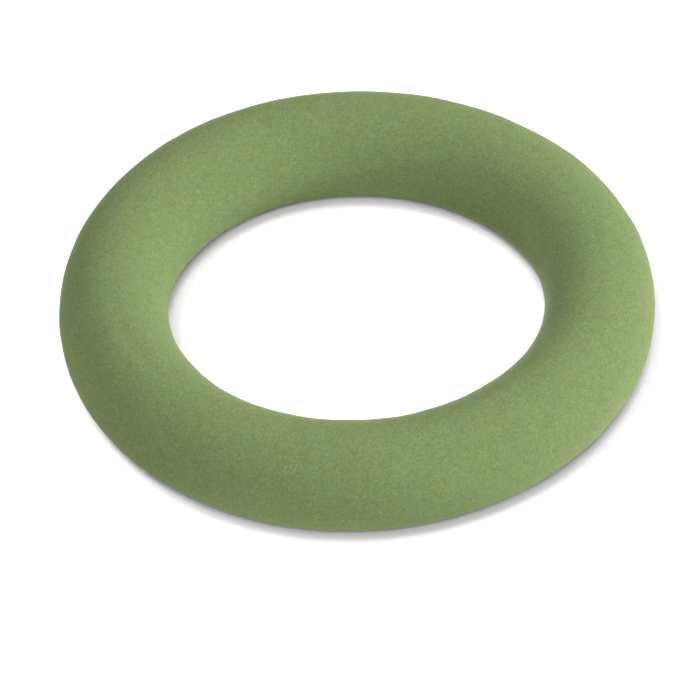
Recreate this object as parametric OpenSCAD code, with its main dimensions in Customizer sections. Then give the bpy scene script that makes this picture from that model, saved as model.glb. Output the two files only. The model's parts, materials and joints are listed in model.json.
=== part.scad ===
// Floral foam ring. A ring of water-holding foam with a nearly round section lies on
// a thin moulded base ring, which it overhangs all round. Two beads of adhesive in
// grooves in the base bond the foam to it.
// Millimetres, +Z up, origin at the centre of the underside.

/* [Foam] */
// Outside diameter of the foam ring
ring_outer_d = 250; // [200:5:320]
// Width of the foam's section, across the band
foam_w = 46; // [44:1:58]
// Width of the level strip along the foam's crown, between its two round flanks
crown_w = 2; // [0:0.5:4]
// Depth of the segment that is missing from the bottom of the round section
seat_cut = 7; // [5:0.5:10]

/* [Base] */
// Width of the base ring's band
base_w = 27; // [24:0.5:28]
// Height of the base ring
base_h = 3; // [2.6:0.1:5]
// Depth of the pockets in the underside of the base
pocket_depth = 1.2; // [0.6:0.1:1.4]
// Width of the two rims that the base stands on
rim_w = 2; // [1:0.25:3]
// Number of ribs between the rims
rib_count = 24; // [8:1:48]
// Width of each rib
rib_w = 1.6; // [1:0.1:3]

/* [Adhesive] */
// Width of each bead of adhesive
bead_w = 5; // [3:0.5:6]
// Thickness of each bead, which is also the depth of its groove
bead_h = 0.8; // [0.4:0.1:1]
// Distance between the centre lines of the two beads
bead_spacing = 13; // [10:0.5:16]

/* [Hidden] */
$fn = 180;

// Radius of the round flanks of the foam's section
flank_r = (foam_w - crown_w) / 2;
// Radius of the circle through the middle of the band
mean_r = (ring_outer_d - foam_w) / 2;
// Height of the centre of the round section
section_z = base_h + flank_r - seat_cut;
// Centre-line radii of the beads
bead_inner_r = mean_r - bead_spacing / 2;
bead_outer_r = mean_r + bead_spacing / 2;

// A flat ring of rectangular section, centred on the radius centre_r
module band(centre_r, width, low_z, high_z) {
    rotate_extrude()
        translate([centre_r - width / 2, low_z])
            square([width, high_z - low_z]);
}

// The round section of the foam about its own centre, with the flat seat cut off below
module foam_section() {
    difference() {
        union() {
            for (side = [-1, 1])
                translate([side * crown_w / 2, 0])
                    circle(r = flank_r);
            translate([-crown_w / 2, -flank_r])
                square([crown_w, 2 * flank_r]);
        }
        translate([-foam_w, -2 * foam_w - (flank_r - seat_cut)])
            square([2 * foam_w, 2 * foam_w]);
    }
}

module foam_ring() {
    color("#8b9b6a")
        rotate_extrude()
            translate([mean_r, section_z])
                foam_section();
}

// One bead of adhesive, level with the top of the base
module glue_bead(bead_r) {
    color("#d8c48a")
        band(bead_r, bead_w, base_h - bead_h, base_h);
}

module glue_bead_inner() {
    glue_bead(bead_inner_r);
}

module glue_bead_outer() {
    glue_bead(bead_outer_r);
}

// Ribs that join the two rims under the base
module base_ribs() {
    rib_length = base_w - rim_w;
    rib_h = pocket_depth + (base_h - bead_h - pocket_depth) / 2;
    for (i = [0 : rib_count - 1])
        rotate([0, 0, i * 360 / rib_count])
            translate([mean_r - rib_length / 2, -rib_w / 2, 0])
                cube([rib_length, rib_w, rib_h]);
}

module base_ring() {
    rim_offset = (base_w - rim_w) / 2;
    color("#3f5a3a") {
        difference() {
            band(mean_r, base_w, 0, base_h);
            band(mean_r, base_w - 2 * rim_w, -1, pocket_depth);
            for (bead_r = [bead_inner_r, bead_outer_r])
                band(bead_r, bead_w, base_h - bead_h, base_h + 1);
        }
        base_ribs();
    }
}

foam_ring();
glue_bead_inner();
glue_bead_outer();
base_ring();
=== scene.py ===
"""Looks of a floral foam ring: the foam body, the moulded base ring that it overhangs and
the two beads of adhesive between them, on a plain white studio floor. Metres, Z up."""

import json
import math

import bpy
import numpy as np
from mathutils import Matrix, Vector

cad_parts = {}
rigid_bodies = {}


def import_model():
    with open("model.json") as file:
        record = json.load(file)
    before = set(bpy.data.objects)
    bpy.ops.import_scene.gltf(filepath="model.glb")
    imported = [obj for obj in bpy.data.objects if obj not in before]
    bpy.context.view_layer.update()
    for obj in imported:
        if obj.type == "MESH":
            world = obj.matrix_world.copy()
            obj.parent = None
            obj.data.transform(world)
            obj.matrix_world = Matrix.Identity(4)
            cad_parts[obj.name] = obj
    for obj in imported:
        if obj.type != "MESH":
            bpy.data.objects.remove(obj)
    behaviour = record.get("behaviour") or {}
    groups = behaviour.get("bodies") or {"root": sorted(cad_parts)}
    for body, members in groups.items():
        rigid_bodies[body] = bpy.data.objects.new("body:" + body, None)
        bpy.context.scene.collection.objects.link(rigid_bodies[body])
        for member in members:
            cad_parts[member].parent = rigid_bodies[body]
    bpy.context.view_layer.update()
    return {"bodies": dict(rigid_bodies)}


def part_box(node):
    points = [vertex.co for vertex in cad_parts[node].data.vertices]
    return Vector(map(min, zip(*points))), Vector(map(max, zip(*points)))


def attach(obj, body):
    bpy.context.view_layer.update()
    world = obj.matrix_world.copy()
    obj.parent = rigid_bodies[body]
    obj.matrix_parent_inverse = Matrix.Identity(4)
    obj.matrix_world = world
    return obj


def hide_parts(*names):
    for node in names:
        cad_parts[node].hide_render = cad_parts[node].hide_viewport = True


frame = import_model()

MM = 0.001
BODY = next(iter(frame["bodies"]))

# ------------------------------------------------------------ sizes, from the frame

FOAM_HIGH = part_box("foam_ring")[1]
BASE_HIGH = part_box("base_ring")[1]
BEAD_LOW, BEAD_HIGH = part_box("glue_bead_inner")

FOAM_W = 46 * MM                        # width of the foam's section
CROWN_W = 2 * MM                        # level strip between its two round flanks
FLANK_R = (FOAM_W - CROWN_W) / 2        # radius of the flanks
MEAN_R = FOAM_HIGH[0] - FOAM_W / 2      # radius of the middle of the band
SEAT_Z = BASE_HIGH[2]                   # height at which the foam sits on the base
SECTION_Z = FOAM_HIGH[2] - FLANK_R      # height of the centre of the round section
BASE_W = 2 * (BASE_HIGH[0] - MEAN_R)    # width of the base ring's band
GROOVE_W = 5 * MM                       # width of the grooves for the adhesive
GROOVE_H = BEAD_HIGH[2] - BEAD_LOW[2]   # depth of the grooves
GROOVE_OUT = MEAN_R - (BEAD_HIGH[0] - GROOVE_W / 2)   # from the middle of the band

# ------------------------------------------------------------ mesh helpers


def ring_piece(name, points):
    """A new object: a closed tube through points[around, along, xyz], joined up both ways."""
    around, along = points.shape[:2]
    here = np.arange(around * along).reshape(around, along)
    ahead = np.roll(here, -1, axis=0)
    quads = np.stack([here, ahead, np.roll(ahead, -1, axis=1), np.roll(here, -1, axis=1)], axis=-1)
    mesh = bpy.data.meshes.new(name)
    mesh.from_pydata(points.reshape(-1, 3).tolist(), [], quads.reshape(-1, 4).tolist())
    mesh.polygons.foreach_set("use_smooth", [True] * len(mesh.polygons))
    mesh.update()
    piece = bpy.data.objects.new(name, mesh)
    bpy.context.scene.collection.objects.link(piece)
    return piece


def arc(centre, radius, start, end, steps):
    """Points on an arc, from the angle start to the angle end."""
    angle = np.linspace(start, end, steps)
    return np.array(centre) + radius * np.stack([np.cos(angle), np.sin(angle)], axis=-1)


def rounded(corners, radius, steps):
    """A closed outline through corners, each rounded with steps points that start radius away."""
    outline = []
    count = len(corners)
    for i in range(count):
        here = np.array(corners[i])
        before = np.array(corners[i - 1]) - here
        after = np.array(corners[(i + 1) % count]) - here
        before /= np.linalg.norm(before)
        after /= np.linalg.norm(after)
        for t in np.linspace(0, 1, steps):
            outline.append(here + radius * (before * (1 - t) ** 2 + after * t**2))
    return np.array(outline)


def even(outline, count):
    """A closed outline as count points, spaced evenly along it."""
    closed = np.concatenate([outline, outline[:1]])
    length = np.concatenate([[0], np.cumsum(np.linalg.norm(np.diff(closed, axis=0), axis=1))])
    at = np.arange(count) * length[-1] / count
    return np.stack([np.interp(at, length, closed[:, k]) for k in (0, 1)], axis=-1)


def swept(across, height, angle, centre_r):
    """points[around, along, xyz] of a section swept round +Z. The arrays broadcast."""
    across, height, angle = np.broadcast_arrays(across, height, angle[:, None])
    r = centre_r + across
    return np.stack([r * np.cos(angle), r * np.sin(angle), height], axis=-1)


def normals(points):
    """Unit normals of a tube of points[around, along, xyz], out of it."""
    along = np.roll(points, -1, axis=1) - np.roll(points, 1, axis=1)
    around = np.roll(points, -1, axis=0) - np.roll(points, 1, axis=0)
    n = np.cross(around, along)
    return n / np.linalg.norm(n, axis=-1, keepdims=True)


def waves(points, size, seed, count=40):
    """Smooth noise at each point, of about unit strength, with lumps about size across."""
    rng = np.random.default_rng(seed)
    ways = rng.normal(size=(count, 3))
    ways *= (math.pi / size / np.linalg.norm(ways, axis=1) * rng.uniform(0.7, 1.4, count))[:, None]
    phases = rng.uniform(0, 2 * math.pi, count)
    total = sum(np.sin(points @ way + phase) for way, phase in zip(ways, phases))
    return total / math.sqrt(count / 2)


# ------------------------------------------------------------ node helpers


class Look:
    """A material, with short ways to add the nodes that make its pattern."""

    def __init__(self, name, **shader):
        self.material = bpy.data.materials.new(name)
        self.material.use_nodes = True
        self.nodes = self.material.node_tree.nodes
        self.links = self.material.node_tree.links
        self.shader = self.nodes["Principled BSDF"]
        for socket, value in shader.items():
            self.shader.inputs[socket].default_value = value
        self.place = self.nodes.new("ShaderNodeTexCoord").outputs["Object"]

    def add(self, kind, inputs, **settings):
        """A node with its settings, and its inputs as values or as links."""
        made = self.nodes.new("ShaderNode" + kind)
        for key, value in settings.items():
            setattr(made, key, value)
        for socket, value in inputs.items():
            if isinstance(value, bpy.types.NodeSocket):
                self.links.new(value, made.inputs[socket])
            else:
                made.inputs[socket].default_value = value
        return made

    def noise(self, size, detail=2.0, fine=0.6):
        """Noise from 0 to 1 with lumps about size metres across. Each finer octave, up to
        detail of them, is fine times as strong as the one before."""
        inputs = {"Vector": self.place, "Scale": 1 / size, "Detail": detail, "Roughness": fine}
        return self.add("TexNoise", inputs).outputs["Fac"]

    def bubbles(self, spacing, radius):
        """1 in small balls that fill space spacing metres apart, and 0 between them."""
        cells = self.add("TexVoronoi", {"Vector": self.place, "Scale": 1 / spacing})
        edge = radius / spacing
        return self.span(cells.outputs["Distance"], edge, 0.4 * edge)

    def cells(self, size):
        """A random colour for each of the cells, about size metres across, that fill space."""
        return self.add("TexVoronoi", {"Vector": self.place, "Scale": 1 / size}).outputs["Color"]

    def span(self, value, low, high, to_low=0.0, to_high=1.0):
        """value with low to high spread over to_low to to_high, and held at its ends."""
        inputs = {0: value, 1: low, 2: high, 3: to_low, 4: to_high}
        return self.add("MapRange", inputs).outputs[0]

    def patches(self, size, detail=2.0, fine=0.6, low=0.3, high=0.7):
        """Noise with low to high spread over 0 to 1, so that it reaches both."""
        return self.span(self.noise(size, detail, fine), low, high)

    def math(self, operation, first, second):
        return self.add("Math", {0: first, 1: second}, operation=operation).outputs[0]

    def mix(self, share, first, second, blend="MIX"):
        """Two colours mixed by share."""
        inputs = {0: share, 6: first, 7: second}
        return self.add("Mix", inputs, data_type="RGBA", blend_type=blend).outputs[2]

    def shade(self, colour, share, tone):
        """colour multiplied by tone, as much as share says."""
        return self.mix(share, colour, tone, "MULTIPLY")

    def bump(self, height, depth, under=None):
        """Normals of a surface that height raises by up to depth metres."""
        inputs = {"Height": height, "Distance": depth, "Strength": 1.0}
        if under is not None:
            inputs["Normal"] = under
        return self.add("Bump", inputs).outputs["Normal"]

    def finish(self, colour, roughness, normal):
        self.links.new(colour, self.shader.inputs["Base Color"])
        self.links.new(roughness, self.shader.inputs["Roughness"])
        self.links.new(normal, self.shader.inputs["Normal"])
        return self.material


def grey(value):
    return (value, value, value, 1.0)


# ------------------------------------------------------------ foam body

FOAM_AROUND = 960                       # rings of vertices round the body
FOAM_ALONG = 104                        # vertices in each ring
SEAT_EDGE_R = 1.6 * MM                  # worn edges between the flanks and the seat
LOBES = 3                               # the ring is out of round, in this many lobes
LOBE_H = 0.3 * MM
SEAT_BLEND_H = 3 * MM                   # the unevenness fades out over this height above the seat
UNEVEN = [                              # height and width of the lumps, and the seed
    (0.10 * MM, 40 * MM, 1),
    (0.05 * MM, 13 * MM, 2),
    (0.02 * MM, 4.5 * MM, 3),
    (0.012 * MM, 2 * MM, 4),
]
DENTS = 60                              # shallow marks left by handling
DENT_W = (2.5 * MM, 7.0 * MM)           # least and greatest half width
DENT_DEPTH = (0.01, 0.03)               # least and greatest depth, in half widths
DENT_TILT = (-0.1, 1.1)                 # range round the section, in half turns from level
DENT_SEED = 11


def foam_outline():
    """The foam's section as (across, height): a flat seat, two round flanks and a crown."""
    edge_z = SEAT_Z + SEAT_EDGE_R
    rise = edge_z - SECTION_Z
    reach = math.sqrt((FLANK_R - SEAT_EDGE_R) ** 2 - rise**2)
    tangent = math.atan2(rise, reach)
    edge = arc((CROWN_W / 2 + reach, edge_z), SEAT_EDGE_R, -math.pi / 2, tangent, steps=12)
    flank = arc((CROWN_W / 2, SECTION_Z), FLANK_R, tangent, math.pi / 2, steps=120)
    right = np.concatenate([edge, flank])
    return np.concatenate([right, right[::-1] * [-1, 1]])


def dented(points, out):
    """The points with shallow dents pressed into the top and sides."""
    rng = np.random.default_rng(DENT_SEED)
    turn = rng.uniform(0, 2 * math.pi, DENTS)
    tilt = rng.uniform(*DENT_TILT, DENTS) * math.pi
    width = rng.uniform(*DENT_W, DENTS)
    depth = width * rng.uniform(*DENT_DEPTH, DENTS)
    r = MEAN_R + FLANK_R * np.cos(tilt)
    z = SECTION_Z + FLANK_R * np.sin(tilt)
    for k in range(DENTS):
        centre = np.array([r[k] * math.cos(turn[k]), r[k] * math.sin(turn[k]), z[k]])
        away = np.linalg.norm(points - centre, axis=-1) / width[k]
        points = points - out * (depth[k] * np.exp(-(away**2)))[..., None]
    return points


def foam_body():
    outline = even(foam_outline(), FOAM_ALONG)
    angle = np.arange(FOAM_AROUND) * 2 * math.pi / FOAM_AROUND
    lobes = LOBE_H * np.cos(LOBES * angle)[:, None]
    points = swept(outline[:, 0] + lobes, outline[:, 1], angle, MEAN_R)
    out = normals(points)
    free = np.clip((points[..., 2] - SEAT_Z) / SEAT_BLEND_H, 0, 1)
    uneven = sum(height * waves(points, width, seed) for height, width, seed in UNEVEN)
    points = points + out * (uneven * free)[..., None]
    points = dented(points, out)
    points[..., 2] = np.clip(points[..., 2], SEAT_Z, FOAM_HIGH[2])
    return ring_piece("foam_body", points)


SAGE_COOL = (0.282, 0.371, 0.156, 1)
SAGE_WARM = (0.292, 0.375, 0.145, 1)
HUE_SIZE = 9 * MM                       # patches of cooler and warmer sage
# The patterns below darken the sage. A tone is what one multiplies it by where it is strongest.
BROAD_SIZE = 45 * MM
BROAD_TONE = (0.96, 0.98, 0.965, 1)
CLOUD_SIZE = 7 * MM
CLOUD_TONE = grey(0.965)
GRAIN_SIZE = 3 * MM
GRAIN_TONE = grey(0.90)
FINE_SIZE = 0.9 * MM
FINE_TONE = grey(0.74)
CELL_SIZE = 0.7 * MM
CELL_TONE = grey(0.80)
# Pores: small pits that the bump presses in; their tone is painted shade in the pits.
PORE_SPACING = 0.9 * MM
PORE_R = 0.22 * MM
PORE_SHADE_TONE = grey(0.85)
PORE_DEPTH = 0.6                        # against the fine grain's height
# Specks: larger pits that the bump presses in; their tone is painted shade in the pits.
SPECK_SPACING = 9 * MM
SPECK_R = 0.5 * MM
SPECK_SHADE_TONE = grey(0.80)
SPECK_DEPTH = 0.2 * MM
FOAM_BUMP = 0.09 * MM                   # height of the fine grain
FOAM_ROUGHNESS = (0.9, 1.0)
FOAM_SHADER = {
    "Diffuse Roughness": 1.0,
    "Specular IOR Level": 0.15,
    "Sheen Weight": 0.10,               # the dusty cut cells catch light at the rim
    "Sheen Roughness": 0.35,
    "Sheen Tint": (1.0, 0.95, 0.88, 1),
}


def foam_look():
    look = Look("foam", **FOAM_SHADER)
    warmth = look.patches(HUE_SIZE, detail=1, low=0.35, high=0.65)
    broad = look.patches(BROAD_SIZE)
    cloud = look.patches(CLOUD_SIZE)
    grain = look.patches(GRAIN_SIZE, detail=1, fine=1.0, low=0.2, high=0.8)
    fine = look.patches(FINE_SIZE, detail=1, fine=1.0, low=0.25, high=0.75)
    cells = look.cells(CELL_SIZE)
    shaded_pores = look.bubbles(PORE_SPACING, PORE_R)
    shaded_specks = look.bubbles(SPECK_SPACING, SPECK_R)
    sage = look.mix(warmth, SAGE_COOL, SAGE_WARM)
    sage = look.shade(sage, broad, BROAD_TONE)
    sage = look.shade(sage, cloud, CLOUD_TONE)
    sage = look.shade(sage, grain, GRAIN_TONE)
    sage = look.shade(sage, fine, FINE_TONE)
    sage = look.shade(sage, cells, CELL_TONE)
    # painted shade in the pores' pits
    sage = look.shade(sage, shaded_pores, PORE_SHADE_TONE)
    # painted shade in the specks' pits
    sage = look.shade(sage, shaded_specks, SPECK_SHADE_TONE)
    height = look.math("SUBTRACT", fine, look.math("MULTIPLY", shaded_pores, PORE_DEPTH))
    normal = look.bump(height, FOAM_BUMP)
    normal = look.bump(look.math("SUBTRACT", 1.0, shaded_specks), SPECK_DEPTH, normal)
    roughness = look.span(cloud, 0, 1, *FOAM_ROUGHNESS)
    return look.finish(sage, roughness, normal)


# ------------------------------------------------------------ base ring

RIB_COUNT = 24
RIB_W = 1.6 * MM
RIM_W = 2 * MM                          # width of the two rims that the base stands on
POCKET_H = 1.2 * MM                     # depth of the pockets between the ribs
BASE_EDGE_R = 0.3 * MM
RIB_STEPS = (-1.3, -1.0, -0.7, -0.2, 0.2, 0.7, 1.0, 1.3)   # across a rib, in half widths
RIB_FOOT = 1.3                          # a rib starts here, in half widths from its middle,
RIB_SIDE = 0.6                          # and has its full height after this much more
RIB_REACH = 0.95                        # share of the pockets' depth that the ribs fill
BETWEEN_STEPS = 10                      # points from one rib's foot to the next, both counted
PLASTIC_DARK = (0.040, 0.082, 0.036, 1)
PLASTIC_LIGHT = (0.052, 0.098, 0.044, 1)
PLASTIC_PATCH = 18 * MM                 # size of the darker and lighter patches
PLASTIC_GRAIN = 0.5 * MM
PLASTIC_BUMP = 0.03 * MM                # height of the grain
PLASTIC_ROUGHNESS = (0.42, 0.62)
FOAM_DUST = (0.20, 0.26, 0.12, 1)
DUST_SIZE = 2.5 * MM
DUST_SHARE = 0.25                       # how much of the dust's colour shows


def base_outline():
    """The base's section as (across, height), from the inner rim round to the outer one."""
    half = BASE_W / 2
    floor = SEAT_Z - GROOVE_H
    corners = [(-half, 0), (-half, SEAT_Z)]
    for side in (-1, 1):
        middle = side * GROOVE_OUT
        low, high = middle - GROOVE_W / 2, middle + GROOVE_W / 2
        corners += [(low, SEAT_Z), (low, floor), (high, floor), (high, SEAT_Z)]
    corners += [(half, SEAT_Z), (half, 0), (half - RIM_W, 0), (half - RIM_W, POCKET_H)]
    corners += [(RIM_W - half, POCKET_H), (RIM_W - half, 0)]
    return corners


def base_moulding():
    """The base: where a rib crosses the pockets, the section's underside comes down."""
    outline = rounded(base_outline(), BASE_EDGE_R, steps=4)[::-1]
    step = 2 * math.pi / RIB_COUNT
    half_rib = RIB_W / 2 / MEAN_R
    ribs = np.array(RIB_STEPS) * half_rib
    between = np.linspace(ribs[-1], step + ribs[0], BETWEEN_STEPS)[1:-1]
    one = np.concatenate([ribs, between])
    angle = (np.arange(RIB_COUNT)[:, None] * step + one).ravel()
    rise = np.clip((RIB_FOOT - np.abs(RIB_STEPS)) / RIB_SIDE, 0, 1)
    on_rib = np.tile(np.concatenate([rise, between * 0]), RIB_COUNT)
    across, height = outline.T
    in_pocket = np.abs(across) < BASE_W / 2 - RIM_W + 0.01 * MM
    under = in_pocket & (height <= POCKET_H)
    lift = np.where(under, 1 - RIB_REACH * on_rib[:, None], 1.0)
    return ring_piece("base_moulding", swept(across, height * lift, angle, MEAN_R))


def base_look():
    look = Look("base_plastic")
    grain = look.noise(PLASTIC_GRAIN)
    dust = look.patches(DUST_SIZE, detail=4, low=0.55, high=0.8)
    green = look.mix(look.patches(PLASTIC_PATCH, detail=3), PLASTIC_DARK, PLASTIC_LIGHT)
    green = look.mix(look.math("MULTIPLY", dust, DUST_SHARE), green, FOAM_DUST)
    roughness = look.span(grain, 0.3, 0.7, *PLASTIC_ROUGHNESS)
    return look.finish(green, roughness, look.bump(grain, PLASTIC_BUMP))


# ------------------------------------------------------------ beads of adhesive

BEAD_AROUND = 360                       # rings of vertices round a bead
BEAD_ALONG = 28                         # vertices in each ring
BEAD_FILL = 0.82                        # mean width of a bead, as a share of its groove's
BEAD_SWELL = 0.06                       # and how much that share varies
BEAD_SWELL_SIZE = 14 * MM               # length of the swellings
BEAD_DRIFT = 0.12 * MM                  # how far a bead strays sideways
BEAD_DRIFT_SIZE = 25 * MM
BEAD_SQUARE = 0.45                      # 1 gives a bead an oval section, and 0 a square one
AMBER_DARK = (0.60, 0.47, 0.22, 1)
AMBER_LIGHT = (0.68, 0.56, 0.30, 1)
AMBER_PATCH = 6 * MM                    # size of the darker and lighter patches
BUBBLE = (0.80, 0.72, 0.50, 1)
BUBBLE_SPACING = 2.2 * MM
BUBBLE_R = 0.3 * MM
BUBBLE_SHARE = 0.5                      # how much of the bubbles' colour shows
RIPPLE_SIZE = 3 * MM
RIPPLE_H = 0.1 * MM
ADHESIVE_ROUGHNESS = (0.28, 0.42)


def bead(name, centre_r, seed):
    """A bead squeezed flat in its groove, with wavy sides."""
    angle = np.arange(BEAD_AROUND) * 2 * math.pi / BEAD_AROUND
    spot = np.stack([np.cos(angle), np.sin(angle), 0 * angle], axis=-1) * centre_r
    swell = BEAD_SWELL * waves(spot, BEAD_SWELL_SIZE, seed).clip(-2, 2)
    half_w = GROOVE_W / 2 * (BEAD_FILL + swell)
    side = BEAD_DRIFT * waves(spot, BEAD_DRIFT_SIZE, seed + 1).clip(-2, 2)
    half_h = GROOVE_H / 2
    t = np.arange(BEAD_ALONG) * 2 * math.pi / BEAD_ALONG
    squared = np.abs(np.cos(t)) ** BEAD_SQUARE * np.sign(np.cos(t))
    level = np.abs(np.sin(t)) ** BEAD_SQUARE * np.sign(np.sin(t))
    across = squared[None, :] * half_w[:, None] + side[:, None]
    height = BEAD_LOW[2] + half_h + level * half_h
    return ring_piece(name, swept(across, height, angle, centre_r))


def adhesive_look():
    look = Look("adhesive")
    tone = look.patches(AMBER_PATCH, detail=3)
    bubbles = look.bubbles(BUBBLE_SPACING, BUBBLE_R)
    amber = look.mix(tone, AMBER_DARK, AMBER_LIGHT)
    amber = look.mix(look.math("MULTIPLY", bubbles, BUBBLE_SHARE), amber, BUBBLE)
    roughness = look.span(tone, 0, 1, *ADHESIVE_ROUGHNESS)
    return look.finish(amber, roughness, look.bump(look.noise(RIPPLE_SIZE), RIPPLE_H))


# ------------------------------------------------------------ studio

FLOOR_SIZE = 8.0
# Pale papers, with a trace of magenta against the green that the foam throws on the floor
PAPER_DARK = (0.81, 0.795, 0.815, 1)
PAPER_LIGHT = (0.82, 0.805, 0.825, 1)
PAPER_PATCH = 0.6                       # size of the darker and paler patches
PAPER_GLOSS_PATCH = 0.3                 # and of the smoother and rougher ones
PAPER_ROUGHNESS = (0.85, 0.95)
PAPER_GRAIN = 2 * MM
PAPER_BUMP = 0.02 * MM                  # height of the grain


def floor():
    half = FLOOR_SIZE / 2
    mesh = bpy.data.meshes.new("floor")
    corners = [(x * half, y * half, 0) for x, y in ((-1, -1), (1, -1), (1, 1), (-1, 1))]
    mesh.from_pydata(corners, [], [(0, 1, 2, 3)])
    made = bpy.data.objects.new("floor", mesh)
    bpy.context.scene.collection.objects.link(made)
    look = Look("floor_paper")
    white = look.mix(look.noise(PAPER_PATCH), PAPER_DARK, PAPER_LIGHT)
    roughness = look.span(look.noise(PAPER_GLOSS_PATCH), 0, 1, *PAPER_ROUGHNESS)
    normal = look.bump(look.noise(PAPER_GRAIN), PAPER_BUMP)
    mesh.materials.append(look.finish(white, roughness, normal))
    made.visible_diffuse = False        # the bright floor would wash out the ring's lower half
    return made


# Azimuth 0 is in front of the ring, on the camera's side, and 90 is to its right.
SOFTBOX_DISTANCE = 2.0
SOFTBOX_SIZE = 0.9
SOFTBOXES = [                           # name, azimuth and elevation in degrees, power in watts
    ("key_right", 90, 40, 21),
    ("key_right_low", 90, 15, 25),
    ("front_right_low", 45, 15, 16.5),
    ("front_left", 315, 40, 10),
    ("front_low", 0, 15, 10),
    ("top", 0, 90, 6),
    ("back_left_low", 225, 15, 8),
    ("back_from_below", 192, -30, 38),
]
FLOOR_LIGHTS = [                        # name, azimuth, elevation and spread in degrees, strength
    ("floor_front", 0, 50, 25, 1.97),
    ("floor_left", 270, 70, 25, 1.52),
    ("floor_right", 90, 70, 25, 0.78),
    ("floor_back_left", 225, 25, 25, 1.18),
    ("floor_top", 12, 78, 12, 0.84),
    ("floor_front_left", 320, 66, 12, 0.60),
]
FLOOR_FILL = 0.11                       # strength of a sun that lifts the ring's shadow too


def light(name, kind, azimuth, elevation, lit):
    """A light that points at the ring, and lights only the objects in lit."""
    lamp = bpy.data.lights.new(name, kind)
    made = bpy.data.objects.new(name, lamp)
    bpy.context.scene.collection.objects.link(made)
    a, e = math.radians(azimuth), math.radians(elevation)
    way = Vector((math.cos(e) * math.sin(a), -math.cos(e) * math.cos(a), math.sin(e)))
    made.location = SOFTBOX_DISTANCE * way
    made.rotation_euler = (-way).to_track_quat("-Z", "Y").to_euler()
    made.light_linking.receiver_collection = lit
    return made


def group(name, members):
    made = bpy.data.collections.new(name)
    for member in members:
        made.objects.link(member)
    return made


def lights(ring_pieces, floor_piece):
    """Softboxes that shape the ring, wide suns for an even white floor with a narrow shadow,
    and one sun without shadows."""
    ring = group("lit_ring", ring_pieces)
    for name, azimuth, elevation, power in SOFTBOXES:
        made = light(name, "AREA", azimuth, elevation, ring)
        made.light_linking.blocker_collection = ring
        made.data.shape = "DISK"
        made.data.size = SOFTBOX_SIZE
        made.data.energy = power
    ground = group("lit_floor", [floor_piece])
    for name, azimuth, elevation, spread, strength in FLOOR_LIGHTS:
        made = light(name, "SUN", azimuth, elevation, ground)
        made.data.angle = math.radians(spread)
        made.data.energy = strength
    fill = light("floor_fill", "SUN", 0, 90, ground)
    fill.data.energy = FLOOR_FILL
    fill.data.use_shadow = False


AMBIENT = 0.20                          # faint light from all round, against the backdrop's 1


def backdrop():
    """White where the camera sees past the floor, and a faint light from all round."""
    world = bpy.data.worlds.new("studio")
    world.use_nodes = True
    nodes, links = world.node_tree.nodes, world.node_tree.links
    back = nodes["Background"]
    back.inputs["Color"].default_value = grey(1.0)
    seen = nodes.new("ShaderNodeLightPath").outputs["Is Camera Ray"]
    strength = nodes.new("ShaderNodeMapRange")
    strength.inputs["To Min"].default_value = AMBIENT
    links.new(seen, strength.inputs["Value"])
    links.new(strength.outputs["Result"], back.inputs["Strength"])
    bpy.context.scene.world = world


VIEW_ELEVATION = math.radians(43.4)
VIEW_ROLL = math.radians(1.96)
VIEW_DISTANCE = 2.75
VIEW_WIDTH = 0.295                      # what the picture spans across, at the ring
VIEW_OFFSET = (-3.06 * MM, -5.85 * MM)  # middle of the picture from the origin, right and up
VIEW_LIMIT = 50                         # the camera sees this far


def camera():
    tilt = Matrix.Rotation(math.pi / 2 - VIEW_ELEVATION, 4, "X")
    turned = tilt @ Matrix.Rotation(-VIEW_ROLL, 4, "Z")
    data = bpy.data.cameras.new("camera")
    data.lens = data.sensor_width * VIEW_DISTANCE / VIEW_WIDTH
    data.clip_end = VIEW_LIMIT
    made = bpy.data.objects.new("camera", data)
    bpy.context.scene.collection.objects.link(made)
    made.matrix_world = turned @ Matrix.Translation((*VIEW_OFFSET, VIEW_DISTANCE))
    bpy.context.scene.camera = made


# ------------------------------------------------------------ the parts, put together

BEAD_SEEDS = (21, 31)                   # of the inner and the outer bead


def place(piece, node, material):
    piece.data.materials.append(material)
    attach(piece, BODY)
    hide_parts(node)
    return piece


foam = foam_body()
base = base_moulding()
inner = bead("bead_inner", MEAN_R - GROOVE_OUT, BEAD_SEEDS[0])
outer = bead("bead_outer", MEAN_R + GROOVE_OUT, BEAD_SEEDS[1])
adhesive = adhesive_look()
pieces = [
    place(foam, "foam_ring", foam_look()),
    place(base, "base_ring", base_look()),
    place(inner, "glue_bead_inner", adhesive),
    place(outer, "glue_bead_outer", adhesive),
]

ground = floor()
lights(pieces, ground)
backdrop()
camera()
bpy.context.scene.view_settings.view_transform = "Standard"
